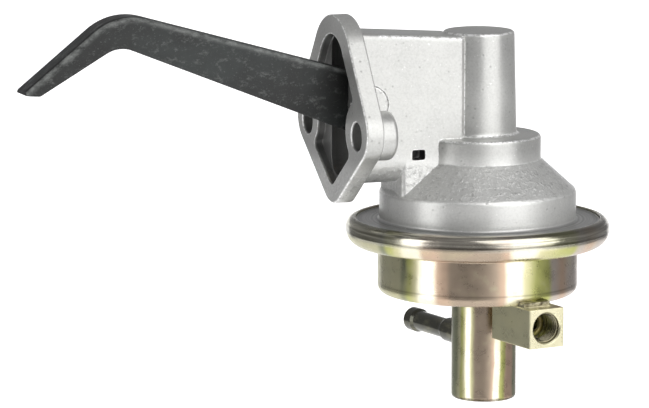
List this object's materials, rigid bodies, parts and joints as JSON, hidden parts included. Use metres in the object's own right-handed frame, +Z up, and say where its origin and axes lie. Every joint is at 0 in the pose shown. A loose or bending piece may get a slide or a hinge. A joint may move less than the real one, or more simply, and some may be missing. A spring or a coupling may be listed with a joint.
{
  "type": "fuel pump",
  "caption": "Mechanical diaphragm fuel pump with a two-bolt flange, a long rocker arm, a rolled lower bowl, a hose inlet and a threaded outlet.",
  "frame": {"origin": "midway between the two bolt holes, on the mounting face", "axes": "-X points out of the mounting face along the rocker arm's side, +Z up along the pump axis, -Y towards the outlet port"},
  "size_m": [0.245, 0.1094, 0.1623],
  "materials": {
    "cast_aluminium": "satin",
    "cap_aluminium": "satin",
    "arm_phosphate": "satin",
    "bushing_bronze": "satin",
    "inner_steel": "satin",
    "spring_steel": "satin",
    "seal_rubber": "matte",
    "diaphragm_rubber": "matte",
    "bowl_zinc": "satin",
    "can_zinc": "satin",
    "block_zinc": "satin",
    "nipple_zinc": "satin",
    "valve_brass": "satin"
  },
  "bodies": {
    "pump_body": {"rocker_housing": "cast_aluminium", "pivot_pin": "inner_steel", "pivot_cap_near": "cap_aluminium", "pivot_cap_far": "cap_aluminium", "thrust_washer_near": "inner_steel", "thrust_washer_far": "inner_steel", "return_spring": "spring_steel", "rod_seal": "seal_rubber", "seal_retainer": "inner_steel", "diaphragm_spring": "spring_steel", "diaphragm": "diaphragm_rubber", "lower_bowl": "bowl_zinc", "valve_carrier": "inner_steel", "carrier_gasket": "seal_rubber", "inlet_can": "can_zinc", "inlet_nipple": "nipple_zinc", "outlet_block": "block_zinc", "inlet_valve_seat": "valve_brass", "inlet_valve_spring": "spring_steel", "inlet_valve_cage": "valve_brass", "outlet_valve_seat": "valve_brass", "outlet_valve_spring": "spring_steel", "outlet_valve_cage": "valve_brass"},
    "rocker": {"rocker_arm": "arm_phosphate", "pivot_bushing": "bushing_bronze", "return_spring_seat": "inner_steel"},
    "rod": {"pull_rod": "inner_steel", "upper_plate": "inner_steel", "lower_plate": "inner_steel", "plate_washer": "inner_steel", "rod_nut": "inner_steel"},
    "inlet_valve": {"inlet_valve_disc": "seal_rubber"},
    "outlet_valve": {"outlet_valve_disc": "seal_rubber"}
  },
  "joints": [
    {"name": "arm_pivot", "type": "hinge", "parent": "pump_body", "child": "rocker", "pos_m": [0.0115, 0, 0.01], "axis": [0, -1, 0], "range_deg": [0, 9], "stiffness_Nm_per_rad": 10, "springref_deg": -11.46, "deforming": ["return_spring"]},
    {"name": "rod_lift", "type": "slide", "parent": "pump_body", "child": "rod", "axis": [0, 0, 1], "range_m": [0, 0.0082], "deforming": ["diaphragm_spring", "diaphragm"]},
    {"name": "inlet_valve_lift", "type": "slide", "parent": "pump_body", "child": "inlet_valve", "axis": [0, 0, 1], "range_m": [0, 0.0012], "stiffness_N_per_m": 4, "springref_m": -0.004, "deforming": ["inlet_valve_spring"]},
    {"name": "outlet_valve_lift", "type": "slide", "parent": "pump_body", "child": "outlet_valve", "axis": [0, 0, -1], "range_m": [0, 0.0012], "stiffness_N_per_m": 4, "springref_m": -0.004, "deforming": ["outlet_valve_spring"]}
  ],
  "couplings": [
    {"joint": "rod_lift", "follows": "arm_pivot", "m_per_rad": 0.0518}
  ]
}
